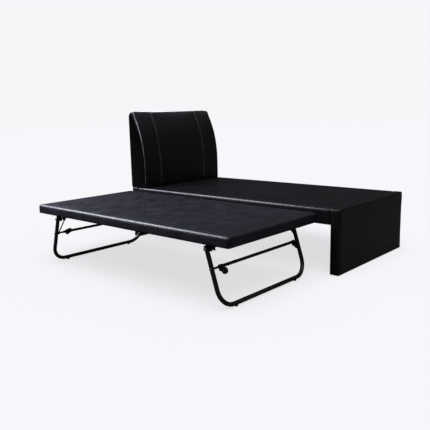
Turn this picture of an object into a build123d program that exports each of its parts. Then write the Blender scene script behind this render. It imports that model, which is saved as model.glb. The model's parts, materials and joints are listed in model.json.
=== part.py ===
"""Upholstered single bed bench with a headboard, and a pop-up pull-out cot on folding legs.

Millimetres. +X runs from the head end to the foot end, +Y from the pull-out cot to the
bench's rear, +Z up. The origin is on the floor, under the middle of the whole set.
"""

import os
from math import cos, radians, sin, sqrt

from build123d import *

# ---- Bench: overall ----
bench_length = 1935
bench_width = 920
bench_height = 420
platform_thickness = 100
end_panel_thickness = 64

# ---- Upholstery and boards shared by both beds ----
cover_thickness = 4
lining_thickness = 2
bench_padding = 14
bench_board_thickness = 12
edge_roll = 10
panel_edge_roll = 9

# ---- Bench: wooden frame ----
bench_rail_width = 24
slat_width = 60
slat_thickness = 18
bench_slats_count = 5

# ---- Bench: fastenings and feet ----
bracket_leg = 50
bracket_height = 30
bracket_thickness = 3
bracket_screw_reach = 34
screw_radius = 2
screw_head_radius = 4
screw_head_height = 2.2
screw_length = 16
panel_bolt_radius = 4
panel_bolt_head_radius = 8
panel_bolt_head_height = 4
panel_bolt_bite = 38
panel_bolt_spacing = 330
glide_height = 5
glide_radius = 11
glide_edge_inset = 60

# ---- Headboard ----
headboard_height = 616
headboard_depth = 155
headboard_top_flat = 27
headboard_roll_radius = 21
headboard_roll_turn = 62
headboard_belly_drop = 464
headboard_corner_radius = 36
headboard_panel_thickness = 28
headboard_panel_height = 570
headboard_side_padding = 10
post_radius = 6
post_depth = 120
post_spacing = 560

# ---- Pull-out cot: overall ----
cot_length = 1750
cot_width = 832
cot_height = 408
cot_thickness = 59
standing_gap = 87
cot_shift_x = -10

# ---- Pull-out cot: deck ----
cot_padding = 12
cot_board_thickness = 9
cot_rail_width = 60
cot_slats_count = 5

# ---- Folding leg frames ----
tube_radius = 12.5
tube_wall = 1.5
splay_angle = 17.5
leg_inset = 19
pivot_drop = 26
leg_top_clearance = 3.25
leg_top_roll = 3
head_pivot_inset = 206
foot_pivot_inset = 165
bend_radius = 98
crossbar_height = 219
crossbar_radius = 9
crossbar_neck_radius = 6
crossbar_neck_length = 32
crossbar_taper = 14
insert_half_length = 14
floor_glide_height = 6
floor_glide_length = 16
floor_glide_width = 14
floor_glide_inset = 118
floor_glide_roll = 2

# ---- Pivot rods and brackets ----
pivot_radius = 6
running_clearance = 0.05
bracket_ear_gap = 1.5
bracket_ear_thickness = 3
bracket_ear_spacing = 26
bracket_ear_half_width = 15
bracket_ear_below = 10
bracket_plate_half_length = 24
plate_screw_margin = 1
nut_across = 15
nut_height = 4.5
bolt_radius = 3
bolt_bite = 20
bolt_end_gap = 1
bolt_head_radius = 5.5
bolt_head_height = 4
bolt_head_roll = 1

# ---- Stays with their sliding ends ----
stay_radius = 4
stay_clearance = 1.5
stay_eye_radius = 10
stay_eye_thickness = 5
stay_boss_radius = 5
stay_boss_clearance = 2.5
stay_boss_length = 7.2
stay_reach = 68
track_width = 18
track_height = 11
track_wall = 1.5
track_slot = 5.6
track_end_margin = 15
slider_length = 16
slider_clearance = 0.5
slider_pin_radius = 2.5
slider_pin_gap = 0.5
slider_pin_reach = 0.8

# ---- Corner gusset on the foot frame ----
gusset_thickness = 4
gusset_start = 28
gusset_end_clearance = 4
gusset_reach = 40
gusset_lip = 7

# ---- Swivel casters ----
wheel_radius = 19
wheel_width = 15
wheel_offset = 33
wheel_edge_roll = 3
caster_trail = 24
head_caster_inset = 110
foot_caster_inset = 58
caster_plate_size = 34
caster_plate_thickness = 3
caster_plate_roll = 4
caster_swivel_gap = 0.6
fork_gap = 1
fork_thickness = 2.5
fork_bridge_radius = 14
axle_radius = 3
axle_head_radius = 5
axle_head_height = 2

# ---- Places worked out from the sizes above ----
head_face_x = -bench_length / 2
foot_face_x = bench_length / 2
rear_face_y = (bench_width + standing_gap + cot_width) / 2
bench_front_y = rear_face_y - bench_width
bench_mid_y = (rear_face_y + bench_front_y) / 2
cot_rear_y = bench_front_y - standing_gap
cot_front_y = cot_rear_y - cot_width
cot_mid_y = (cot_rear_y + cot_front_y) / 2

bay_length = bench_length - 2 * end_panel_thickness
apron_bottom_z = bench_height - platform_thickness
bench_board_top_z = bench_height - bench_padding
bench_board_bottom_z = bench_board_top_z - bench_board_thickness
bench_rail_bottom_z = apron_bottom_z + lining_thickness
bench_rail_height = bench_board_bottom_z - bench_rail_bottom_z
bench_inner_width = bench_width - 2 * cover_thickness

cot_bottom_z = cot_height - cot_thickness
cot_board_top_z = cot_height - cot_padding
cot_board_bottom_z = cot_board_top_z - cot_board_thickness
cot_rail_bottom_z = cot_bottom_z + lining_thickness
cot_rail_height = cot_board_bottom_z - cot_rail_bottom_z
cot_inner_length = cot_length - 2 * cover_thickness
cot_inner_width = cot_width - 2 * cover_thickness

half_span = cot_width / 2 - leg_inset
pivot_z = cot_bottom_z - pivot_drop
floor_bar_z = tube_radius + floor_glide_height
leg_length = (pivot_z - floor_bar_z) / cos(radians(splay_angle))
crossbar_reach = (pivot_z - crossbar_height) / cos(radians(splay_angle))
inner_face = half_span - tube_radius
leg_top_reach = sqrt((pivot_drop - leg_top_clearance) ** 2 - tube_radius**2)
gusset_end = crossbar_reach - crossbar_radius - gusset_end_clearance
stay_offset = tube_radius + stay_clearance + stay_radius
stay_boss_inner = tube_radius + stay_boss_clearance
stay_boss_outer = stay_boss_inner + stay_boss_length
slider_pin_start = stay_boss_outer + slider_pin_gap
track_offset = slider_pin_start + slider_pin_reach
pivot_x = {
    "head": cot_shift_x - cot_length / 2 + head_pivot_inset,
    "foot": cot_shift_x + cot_length / 2 - foot_pivot_inset,
}
caster_inset = {"head": head_caster_inset, "foot": foot_caster_inset}
ends = {"head": -1, "foot": 1}
sides = {"front": -1, "rear": 1}

os.makedirs("parts", exist_ok=True)


def save(part, name):
    """Give a finished piece its name and write it to its own STEP file."""
    part.label = name
    export_step(part, f"parts/{name}.step")


def leg_plane(end):
    """The plane of a standing leg frame: x across the cot, y up the leg, z outward."""
    sign = ends[end]
    outward = (sign * cos(radians(splay_angle)), 0, sin(radians(splay_angle)))
    return Plane(origin=(pivot_x[end], cot_mid_y, pivot_z), x_dir=(0, sign, 0), z_dir=outward)


def across(end, side):
    """Which way along a leg plane's x the front or rear leg of that frame lies."""
    return ends[end] * sides[side]


# =====================================================================
# Bench: end panels, standing on the floor under both ends
# =====================================================================

panel_bolt_z = bench_rail_bottom_z + bench_rail_height / 2
panel_core_thickness = end_panel_thickness - 2 * cover_thickness
panel_core_height = bench_height - cover_thickness - glide_height
panel_cover_height = bench_height - glide_height

for end, sign in ends.items():
    panel_x = sign * (bench_length - end_panel_thickness) / 2
    bolt_face = Plane(
        origin=(sign * bay_length / 2, bench_mid_y, panel_bolt_z), x_dir=(0, 1, 0), z_dir=(-sign, 0, 0)
    )

    # Chipboard core, bored for the bolts that hold it to the platform.
    with BuildPart() as panel_core:
        with BuildSketch(Plane.XY.offset(glide_height)):
            with Locations((panel_x, bench_mid_y)):
                Rectangle(panel_core_thickness, bench_inner_width)
        extrude(amount=panel_core_height)
        if end == "head":
            with BuildSketch(Plane.XY.offset(glide_height + panel_core_height)):
                with Locations((head_face_x + end_panel_thickness / 2, bench_mid_y)):
                    with GridLocations(0, post_spacing, 1, 2):
                        Circle(post_radius + running_clearance)
            extrude(amount=-post_depth, mode=Mode.SUBTRACT)
        with BuildSketch(bolt_face):
            with GridLocations(panel_bolt_spacing, 0, 3, 1):
                Circle(panel_bolt_radius + running_clearance)
        extrude(amount=-cover_thickness - panel_bolt_bite, mode=Mode.SUBTRACT)
    save(panel_core.part, f"{end}_panel_core")

    # Leather-look cover over the core, closed on top and open under the foot.
    with BuildPart() as panel_cover:
        with BuildSketch(Plane.XY.offset(glide_height)):
            with Locations((panel_x, bench_mid_y)):
                Rectangle(end_panel_thickness, bench_width)
        extrude(amount=panel_cover_height)
        fillet(panel_cover.edges().filter_by(Axis.Z), panel_edge_roll)
        fillet(panel_cover.faces().sort_by(Axis.Z)[-1].edges(), cover_thickness)
        with BuildSketch(Plane.XY.offset(glide_height)):
            with Locations((panel_x, bench_mid_y)):
                Rectangle(panel_core_thickness, bench_inner_width)
        extrude(amount=panel_core_height, mode=Mode.SUBTRACT)
        if end == "head":
            with BuildSketch(Plane.XY.offset(bench_height)):
                with Locations((head_face_x + end_panel_thickness / 2, bench_mid_y)):
                    with GridLocations(0, post_spacing, 1, 2):
                        Circle(post_radius + running_clearance)
            extrude(amount=-cover_thickness, mode=Mode.SUBTRACT)
        with BuildSketch(bolt_face):
            with GridLocations(panel_bolt_spacing, 0, 3, 1):
                Circle(panel_bolt_radius + running_clearance)
        extrude(amount=-cover_thickness, mode=Mode.SUBTRACT)
    save(panel_cover.part, f"{end}_panel_cover")

# Plastic glides under both end panels.
with BuildPart() as panel_glides:
    with BuildSketch(Plane.XY):
        with Locations((0, bench_mid_y)):
            with GridLocations(
                bench_length - end_panel_thickness, bench_width - 2 * glide_edge_inset, 2, 2
            ):
                Circle(glide_radius)
    extrude(amount=glide_height)
save(panel_glides.part, "panel_glides")

# =====================================================================
# Bench: platform between the end panels
# =====================================================================

for side, sign in sides.items():
    with BuildPart() as bench_rail:
        with BuildSketch(Plane.XY.offset(bench_rail_bottom_z)):
            with Locations((0, bench_mid_y + sign * (bench_inner_width - bench_rail_width) / 2)):
                Rectangle(bay_length, bench_rail_width)
        extrude(amount=bench_rail_height)
    save(bench_rail.part, f"bench_{side}_rail")

end_rail_length = bench_inner_width - 2 * bench_rail_width
end_rail_face_x = bay_length / 2 - bench_rail_width

with BuildPart() as bench_end_rails:
    with BuildSketch(Plane.XY.offset(bench_rail_bottom_z)):
        with Locations((0, bench_mid_y)):
            with GridLocations(bay_length - bench_rail_width, 0, 2, 1):
                Rectangle(bench_rail_width, end_rail_length)
    extrude(amount=bench_rail_height)
    for sign in (-1, 1):
        with BuildSketch(
            Plane(
                origin=(sign * end_rail_face_x, bench_mid_y, panel_bolt_z),
                x_dir=(0, 1, 0),
                z_dir=(-sign, 0, 0),
            )
        ):
            with GridLocations(panel_bolt_spacing, 0, 3, 1):
                Circle(panel_bolt_radius + running_clearance)
        extrude(amount=-bench_rail_width, mode=Mode.SUBTRACT)
save(bench_end_rails.part, "bench_end_rails")

with BuildPart() as bench_slats:
    with BuildSketch(Plane.XY.offset(bench_board_bottom_z - slat_thickness)):
        with Locations((0, bench_mid_y)):
            with GridLocations(bay_length / (bench_slats_count + 1), 0, bench_slats_count, 1):
                Rectangle(slat_width, end_rail_length)
    extrude(amount=slat_thickness)
save(bench_slats.part, "bench_slats")

with BuildPart() as bench_board:
    with BuildSketch(Plane.XY.offset(bench_board_bottom_z)):
        with Locations((0, bench_mid_y)):
            Rectangle(bay_length, bench_inner_width)
    extrude(amount=bench_board_thickness)
save(bench_board.part, "bench_board")

# Padding and cover in one: thick on top, thin where it wraps the front and rear rails.
with BuildPart() as bench_pad:
    with BuildSketch(Plane.XY.offset(apron_bottom_z)):
        with Locations((0, bench_mid_y)):
            Rectangle(bay_length, bench_width)
    extrude(amount=platform_thickness)
    fillet(bench_pad.edges().filter_by(Axis.X).group_by(Axis.Z)[-1], edge_roll)
    with BuildSketch(Plane.XY.offset(apron_bottom_z)):
        with Locations((0, bench_mid_y)):
            Rectangle(bay_length, bench_inner_width)
    extrude(amount=platform_thickness - bench_padding, mode=Mode.SUBTRACT)
save(bench_pad.part, "bench_pad")

with BuildPart() as bench_lining:
    with BuildSketch(Plane.XY.offset(apron_bottom_z)):
        with Locations((0, bench_mid_y)):
            Rectangle(bay_length, bench_inner_width)
    extrude(amount=lining_thickness)
save(bench_lining.part, "bench_lining")

# Steel angles in the four corners of the platform's frame, each held by four screws.
bracket_bottom_z = panel_bolt_z - bracket_height / 2
corner_y = end_rail_length / 2
corners = [(x, y) for x in (-1, 1) for y in (-1, 1)]
bracket_screw_places = []
for x_sign, y_sign in corners:
    wall_x = x_sign * (end_rail_face_x - bracket_thickness)
    wall_y = bench_mid_y + y_sign * (corner_y - bracket_thickness)
    for lift in (-bracket_height / 4, bracket_height / 4):
        along_x = x_sign * (end_rail_face_x - bracket_screw_reach)
        along_y = bench_mid_y + y_sign * (corner_y - bracket_screw_reach)
        on_rail = Plane(origin=(along_x, wall_y, panel_bolt_z + lift), z_dir=(0, -y_sign, 0))
        on_end = Plane(origin=(wall_x, along_y, panel_bolt_z + lift), z_dir=(-x_sign, 0, 0))
        bracket_screw_places += [on_rail, on_end]

with BuildPart() as corner_brackets:
    for x_sign, y_sign in corners:
        corner_x = x_sign * end_rail_face_x
        corner_edge_y = bench_mid_y + y_sign * corner_y
        with BuildSketch(Plane.XY.offset(bracket_bottom_z)):
            along_middle = corner_x - x_sign * bracket_leg / 2
            with Locations((along_middle, corner_edge_y - y_sign * bracket_thickness / 2)):
                Rectangle(bracket_leg, bracket_thickness)
            across_middle = corner_edge_y - y_sign * bracket_leg / 2
            with Locations((corner_x - x_sign * bracket_thickness / 2, across_middle)):
                Rectangle(bracket_thickness, bracket_leg)
        extrude(amount=bracket_height)
    for place in bracket_screw_places:
        with BuildSketch(place):
            Circle(screw_radius + running_clearance)
        extrude(amount=-bracket_thickness, mode=Mode.SUBTRACT)
save(corner_brackets.part, "corner_brackets")

with BuildPart() as bracket_screws:
    for place in bracket_screw_places:
        with BuildSketch(place):
            Circle(screw_radius)
        extrude(amount=-screw_length)
        with BuildSketch(place):
            Circle(screw_head_radius)
        extrude(amount=screw_head_height)
save(bracket_screws.part, "bracket_screws")

# Bolts from inside the platform into both end panels.
with BuildPart() as panel_bolts:
    for sign in (-1, 1):
        bolt_face = Plane(
            origin=(sign * end_rail_face_x, bench_mid_y, panel_bolt_z), x_dir=(0, 1, 0), z_dir=(-sign, 0, 0)
        )
        with BuildSketch(bolt_face):
            with GridLocations(panel_bolt_spacing, 0, 3, 1):
                Circle(panel_bolt_radius)
        extrude(amount=-bench_rail_width - cover_thickness - panel_bolt_bite)
        with BuildSketch(bolt_face):
            with GridLocations(panel_bolt_spacing, 0, 3, 1):
                Circle(panel_bolt_head_radius)
        extrude(amount=panel_bolt_head_height)
save(panel_bolts.part, "panel_bolts")

# =====================================================================
# Headboard, standing on the head end of the bench
# =====================================================================

headboard_top_z = bench_height + headboard_height
headboard_panel_width = bench_width - 2 * headboard_side_padding

with BuildPart() as headboard_panel:
    with BuildSketch(Plane.XY.offset(bench_height)):
        with Locations((head_face_x + end_panel_thickness / 2, bench_mid_y)):
            Rectangle(headboard_panel_thickness, headboard_panel_width)
    extrude(amount=headboard_panel_height)
    with BuildSketch(Plane.XY.offset(bench_height)):
        with Locations((head_face_x + end_panel_thickness / 2, bench_mid_y)):
            with GridLocations(0, post_spacing, 1, 2):
                Circle(post_radius + running_clearance)
    extrude(amount=post_depth, mode=Mode.SUBTRACT)
save(headboard_panel.part, "headboard_panel")

# Foam and cover in one: upright back, and a front that swells from a rolled top to a full belly.
with BuildPart() as headboard_cushion:
    with BuildSketch(Plane.XZ.offset(-rear_face_y)):
        with BuildLine():
            top_roll = JernArc(
                (head_face_x + headboard_top_flat, headboard_top_z),
                (1, 0),
                headboard_roll_radius,
                -headboard_roll_turn,
            )
            front = TangentArc(
                top_roll @ 1,
                (head_face_x + headboard_depth, headboard_top_z - headboard_belly_drop),
                tangent=top_roll % 1,
            )
            Polyline(
                front @ 1,
                (head_face_x + headboard_depth, bench_height),
                (head_face_x, bench_height),
                (head_face_x, headboard_top_z),
                (head_face_x + headboard_top_flat, headboard_top_z),
            )
        make_face()
    extrude(amount=bench_width)
    with BuildSketch(Plane.YZ.offset(head_face_x)) as front_view:
        with Locations((bench_mid_y, bench_height + headboard_height / 2)):
            Rectangle(bench_width, headboard_height)
        fillet(front_view.vertices().group_by(Axis.Y)[-1], headboard_corner_radius)
    extrude(amount=headboard_depth, mode=Mode.INTERSECT)
    with BuildSketch(Plane.XY.offset(bench_height)):
        with Locations((head_face_x + end_panel_thickness / 2, bench_mid_y)):
            Rectangle(headboard_panel_thickness, headboard_panel_width)
    extrude(amount=headboard_panel_height, mode=Mode.SUBTRACT)
save(headboard_cushion.part, "headboard_cushion")

# Steel pins that join the headboard's panel to the end panel below it.
with BuildPart() as headboard_posts:
    with BuildSketch(Plane.XY.offset(bench_height - post_depth)):
        with Locations((head_face_x + end_panel_thickness / 2, bench_mid_y)):
            with GridLocations(0, post_spacing, 1, 2):
                Circle(post_radius)
    extrude(amount=2 * post_depth)
save(headboard_posts.part, "headboard_posts")

# =====================================================================
# Pull-out cot: deck
# =====================================================================

for side, sign in sides.items():
    with BuildPart() as cot_rail:
        with BuildSketch(Plane.XY.offset(cot_rail_bottom_z)):
            with Locations((cot_shift_x, cot_mid_y + sign * (cot_inner_width - cot_rail_width) / 2)):
                Rectangle(cot_inner_length, cot_rail_width)
        extrude(amount=cot_rail_height)
    save(cot_rail.part, f"cot_{side}_rail")

cot_cross_length = cot_inner_width - 2 * cot_rail_width

with BuildPart() as cot_end_rails:
    with BuildSketch(Plane.XY.offset(cot_rail_bottom_z)):
        with Locations((cot_shift_x, cot_mid_y)):
            with GridLocations(cot_inner_length - cot_rail_width, 0, 2, 1):
                Rectangle(cot_rail_width, cot_cross_length)
    extrude(amount=cot_rail_height)
save(cot_end_rails.part, "cot_end_rails")

with BuildPart() as cot_slats:
    with BuildSketch(Plane.XY.offset(cot_board_bottom_z - slat_thickness)):
        with Locations((cot_shift_x, cot_mid_y)):
            with GridLocations(cot_inner_length / (cot_slats_count + 1), 0, cot_slats_count, 1):
                Rectangle(slat_width, cot_cross_length)
    extrude(amount=slat_thickness)
save(cot_slats.part, "cot_slats")

with BuildPart() as cot_board:
    with BuildSketch(Plane.XY.offset(cot_board_bottom_z)):
        with Locations((cot_shift_x, cot_mid_y)):
            Rectangle(cot_inner_length, cot_inner_width)
    extrude(amount=cot_board_thickness)
save(cot_board.part, "cot_board")

# Padding and cover in one: a shallow tray turned over the board and the frame.
with BuildPart() as cot_pad:
    with BuildSketch(Plane.XY.offset(cot_bottom_z)):
        with Locations((cot_shift_x, cot_mid_y)):
            Rectangle(cot_length, cot_width)
    extrude(amount=cot_thickness)
    fillet(cot_pad.edges().filter_by(Axis.Z), panel_edge_roll)
    fillet(cot_pad.faces().sort_by(Axis.Z)[-1].edges(), panel_edge_roll)
    with BuildSketch(Plane.XY.offset(cot_bottom_z)):
        with Locations((cot_shift_x, cot_mid_y)):
            Rectangle(cot_inner_length, cot_inner_width)
    extrude(amount=cot_thickness - cot_padding, mode=Mode.SUBTRACT)
save(cot_pad.part, "cot_pad")

with BuildPart() as cot_lining:
    with BuildSketch(Plane.XY.offset(cot_bottom_z)):
        with Locations((cot_shift_x, cot_mid_y)):
            Rectangle(cot_inner_length, cot_inner_width)
    extrude(amount=lining_thickness)
save(cot_lining.part, "cot_lining")

# =====================================================================
# Pull-out cot: pivot brackets, pivot rods and the stays' tracks
# =====================================================================

# Places along Y are measured inward from the centre of a leg tube.
ear_start = tube_radius + bracket_ear_gap
plate_width = bracket_ear_spacing + bracket_ear_thickness
plate_centre = ear_start + plate_width / 2
ear_centres = [
    ear_start + bracket_ear_thickness / 2,
    ear_start + bracket_ear_thickness / 2 + bracket_ear_spacing,
]
bracket_bolt_x = bracket_plate_half_length - screw_head_radius - plate_screw_margin


def leg_y(side, inward):
    """Y of a place so far inward of the front or rear leg tubes' centre."""
    return cot_mid_y + sides[side] * (half_span - inward)


with BuildPart() as pivot_brackets:
    for end in ends:
        for side in sides:
            with BuildSketch(Plane.XY.offset(cot_bottom_z - bracket_ear_thickness)):
                with Locations((pivot_x[end], leg_y(side, plate_centre))):
                    Rectangle(2 * bracket_plate_half_length, plate_width)
                with Locations((pivot_x[end], leg_y(side, plate_centre))):
                    with GridLocations(2 * bracket_bolt_x, 0, 2, 1):
                        Circle(screw_radius + running_clearance, mode=Mode.SUBTRACT)
            extrude(amount=bracket_ear_thickness)
            for ear in ear_centres:
                with BuildSketch(Plane(origin=(pivot_x[end], leg_y(side, ear), pivot_z), z_dir=(0, 1, 0))):
                    with Locations((0, (pivot_drop - bracket_ear_thickness - bracket_ear_below) / 2)):
                        RectangleRounded(
                            2 * bracket_ear_half_width,
                            pivot_drop - bracket_ear_thickness + bracket_ear_below,
                            bracket_ear_below / 2,
                        )
                    with Locations((0, pivot_drop - bracket_ear_thickness - bracket_ear_below / 2)):
                        Rectangle(2 * bracket_ear_half_width, bracket_ear_below)
                    Circle(pivot_radius + running_clearance, mode=Mode.SUBTRACT)
                extrude(amount=bracket_ear_thickness / 2, both=True)
save(pivot_brackets.part, "pivot_brackets")

pivot_rod_half = half_span + tube_radius + bracket_ear_gap / 2 + nut_height
for end in ends:
    with BuildPart() as pivot_rod:
        with BuildSketch(Plane(origin=(pivot_x[end], cot_mid_y, pivot_z), z_dir=(0, 1, 0))):
            Circle(pivot_radius)
        extrude(amount=pivot_rod_half - nut_height, both=True)
    save(pivot_rod.part, f"{end}_pivot_rod")

with BuildPart() as pivot_nuts:
    for end in ends:
        for side, sign in sides.items():
            nut_y = cot_mid_y + sign * (pivot_rod_half - nut_height)
            with BuildSketch(Plane(origin=(pivot_x[end], nut_y, pivot_z), z_dir=(0, sign, 0))):
                RegularPolygon(nut_across / 2, 6, major_radius=False)
            extrude(amount=nut_height)
save(pivot_nuts.part, "pivot_nuts")

# Where each stay's upper end stands now, and where it runs to when the legs fold.
track_pin_z = cot_bottom_z - track_height / 2
stay_low_x = -crossbar_reach * sin(radians(splay_angle))
stay_low_z = -crossbar_reach * cos(radians(splay_angle))
stay_high_z = track_pin_z - pivot_z
stay_length = sqrt((stay_reach - stay_low_x) ** 2 + (stay_high_z - stay_low_z) ** 2)
stay_folded_reach = crossbar_reach + sqrt(stay_length**2 - stay_high_z**2)
track_start = stay_reach - track_end_margin
track_length = stay_folded_reach + track_end_margin - track_start
track_centre_x = pivot_x["head"] + track_start + track_length / 2
track_y = track_offset + track_width / 2
track_screw_x = track_length / 2 - track_end_margin / 2

# Side-opening channels under the deck, one for each stay.
with BuildPart() as stay_tracks:
    for side, sign in sides.items():
        with BuildSketch(Plane.XY.offset(cot_bottom_z - track_height)):
            with Locations((track_centre_x, leg_y(side, track_y))):
                Rectangle(track_length, track_width)
        extrude(amount=track_height)
        with BuildSketch(Plane.XY.offset(cot_bottom_z - track_height + track_wall)):
            with Locations((track_centre_x, leg_y(side, track_y))):
                Rectangle(track_length - 2 * track_wall, track_width - 2 * track_wall)
        extrude(amount=track_height - 2 * track_wall, mode=Mode.SUBTRACT)
        with BuildSketch(Plane.XY.offset(track_pin_z - track_slot / 2)):
            with Locations((track_centre_x, leg_y(side, track_offset + track_wall / 2))):
                Rectangle(track_length - 2 * track_wall, 2 * track_wall)
        extrude(amount=track_slot, mode=Mode.SUBTRACT)
save(stay_tracks.part, "stay_tracks")

# Screws that hold the pivot brackets to the deck's rails.
with BuildPart() as bracket_deck_screws:
    for end in ends:
        for side in sides:
            with BuildSketch(Plane.XY.offset(cot_bottom_z - bracket_ear_thickness)):
                with Locations((pivot_x[end], leg_y(side, plate_centre))):
                    with GridLocations(2 * bracket_bolt_x, 0, 2, 1):
                        Circle(screw_radius)
            extrude(amount=screw_length)
            with BuildSketch(Plane.XY.offset(cot_bottom_z - bracket_ear_thickness)):
                with Locations((pivot_x[end], leg_y(side, plate_centre))):
                    with GridLocations(2 * bracket_bolt_x, 0, 2, 1):
                        Circle(screw_head_radius)
            extrude(amount=-screw_head_height)
save(bracket_deck_screws.part, "bracket_deck_screws")

for side, sign in sides.items():
    slider_x = pivot_x["head"] + stay_reach
    with BuildPart() as slider:
        with BuildSketch(Plane.XY.offset(cot_bottom_z - track_height + track_wall + slider_clearance)):
            with Locations((slider_x, leg_y(side, track_y))):
                Rectangle(slider_length, track_width - 2 * track_wall - 2 * slider_clearance)
        extrude(amount=track_height - 2 * track_wall - 2 * slider_clearance)
        with BuildSketch(
            Plane(origin=(slider_x, leg_y(side, slider_pin_start), track_pin_z), z_dir=(0, -sign, 0))
        ):
            Circle(slider_pin_radius)
        extrude(amount=track_y - slider_pin_start)
    save(slider.part, f"{side}_stay_slider")

# =====================================================================
# Folding leg frames
# =====================================================================

for end in ends:
    frame_plane = leg_plane(end)
    bar_z = -leg_length

    # One tube bent into a U, plugged where it turns on the pivot rod, solid at the bolts.
    with BuildPart(frame_plane) as leg_tube:
        with BuildLine(frame_plane) as centre_line:
            FilletPolyline(
                (-half_span, 0), (-half_span, bar_z), (half_span, bar_z), (half_span, 0), radius=bend_radius
            )
        with BuildSketch(Plane(origin=centre_line.line @ 0, z_dir=centre_line.line % 0)):
            Circle(tube_radius)
        sweep()
        for x in (-half_span, half_span):
            pivot_place = frame_plane.from_local_coords(Vector(x, 0, 0))
            with BuildSketch(Plane(origin=pivot_place, z_dir=frame_plane.y_dir)):
                Circle(tube_radius)
            extrude(amount=leg_top_reach)
        leg_ends = leg_tube.edges().filter_by(GeomType.CIRCLE).group_by(Axis.Z)[-1]
        fillet(leg_ends, leg_top_roll)
        with BuildLine(frame_plane) as hollow_line:
            FilletPolyline(
                (-half_span, -crossbar_reach - insert_half_length),
                (-half_span, bar_z),
                (half_span, bar_z),
                (half_span, -crossbar_reach - insert_half_length),
                radius=bend_radius,
            )
        with BuildSketch(Plane(origin=hollow_line.line @ 0, z_dir=hollow_line.line % 0)):
            Circle(tube_radius - tube_wall)
        sweep(mode=Mode.SUBTRACT)
        for x in (-half_span, half_span):
            start = frame_plane.from_local_coords(Vector(x, -tube_radius, 0))
            with BuildSketch(Plane(origin=start, z_dir=-frame_plane.y_dir)):
                Circle(tube_radius - tube_wall)
            extrude(amount=crossbar_reach - insert_half_length - tube_radius, mode=Mode.SUBTRACT)
            across_pivot = frame_plane.from_local_coords(Vector(x, 0, 0))
            with BuildSketch(Plane(origin=across_pivot, z_dir=(0, 1, 0))):
                Circle(pivot_radius + running_clearance)
            extrude(amount=2 * tube_radius, both=True, mode=Mode.SUBTRACT)
            across_bolt = frame_plane.from_local_coords(Vector(x, -crossbar_reach, 0))
            with BuildSketch(Plane(origin=across_bolt, z_dir=(0, 1, 0))):
                Circle(bolt_radius + running_clearance)
            extrude(amount=2 * tube_radius, both=True, mode=Mode.SUBTRACT)
    save(leg_tube.part, f"{end}_leg_tube")

    # Crossbar, necked down at both ends and tapped for the bolts through the legs.
    bar_middle = inner_face - crossbar_neck_length - crossbar_taper
    bar_centre = frame_plane.from_local_coords(Vector(0, -crossbar_reach, 0))
    with BuildPart() as crossbar:
        with BuildSketch(Plane(origin=bar_centre, z_dir=(0, 1, 0))):
            Circle(crossbar_radius)
        extrude(amount=bar_middle, both=True)
        for sign in (-1, 1):
            shoulder = bar_centre + Vector(0, sign * bar_middle, 0)
            neck = shoulder + Vector(0, sign * crossbar_taper, 0)
            with BuildSketch(Plane(origin=shoulder, z_dir=(0, sign, 0))):
                Circle(crossbar_radius)
            with BuildSketch(Plane(origin=neck, z_dir=(0, sign, 0))):
                Circle(crossbar_neck_radius)
            loft()
            with BuildSketch(Plane(origin=neck, z_dir=(0, sign, 0))):
                Circle(crossbar_neck_radius)
            extrude(amount=crossbar_neck_length)
            tip = neck + Vector(0, sign * crossbar_neck_length, 0)
            with BuildSketch(Plane(origin=tip, z_dir=(0, -sign, 0))):
                Circle(bolt_radius + running_clearance)
            extrude(amount=bolt_bite, mode=Mode.SUBTRACT)
    save(crossbar.part, f"{end}_crossbar")

    # Bolts through both legs into the crossbar, heads outside.
    with BuildPart() as crossbar_bolts:
        for sign in (-1, 1):
            outer = bar_centre + Vector(0, sign * (half_span + tube_radius), 0)
            with BuildSketch(Plane(origin=outer, z_dir=(0, -sign, 0))):
                Circle(bolt_radius)
            extrude(amount=2 * tube_radius + bolt_bite - bolt_end_gap)
            with BuildSketch(Plane(origin=outer, z_dir=(0, sign, 0))):
                Circle(bolt_head_radius)
            extrude(amount=bolt_head_height)
            head_face = crossbar_bolts.faces().sort_by(Axis.Y)[0 if sign < 0 else -1]
            fillet(head_face.edges(), bolt_head_roll)
    save(crossbar_bolts.part, f"{end}_crossbar_bolts")

    # Plastic saddles under the floor bar, one near each bend.
    bar_x = pivot_x[end] + ends[end] * leg_length * sin(radians(splay_angle))
    with BuildPart() as floor_glides:
        with BuildSketch(Plane.XY):
            with Locations((bar_x, cot_mid_y)):
                with GridLocations(0, 2 * (half_span - floor_glide_inset), 1, 2):
                    Rectangle(floor_glide_width, floor_glide_length)
        extrude(amount=floor_bar_z)
        fillet(floor_glides.edges().filter_by(Axis.Z), floor_glide_roll)
        with BuildSketch(Plane(origin=(bar_x, cot_mid_y, floor_bar_z), z_dir=(0, 1, 0))):
            Circle(tube_radius)
        extrude(amount=half_span, both=True, mode=Mode.SUBTRACT)
    save(floor_glides.part, f"{end}_floor_glides")

    # Caster plates welded to the outer side of the crossbar.
    with BuildPart(frame_plane.offset(crossbar_radius)) as caster_plates:
        for sign in (-1, 1):
            with BuildSketch(frame_plane.offset(crossbar_radius)):
                plate_x = sign * (half_span - caster_inset[end])
                with Locations((plate_x, -crossbar_reach - crossbar_radius / 2)):
                    RectangleRounded(caster_plate_size, caster_plate_size, caster_plate_roll)
            extrude(amount=caster_plate_thickness)
    save(caster_plates.part, f"{end}_caster_plates")

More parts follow.
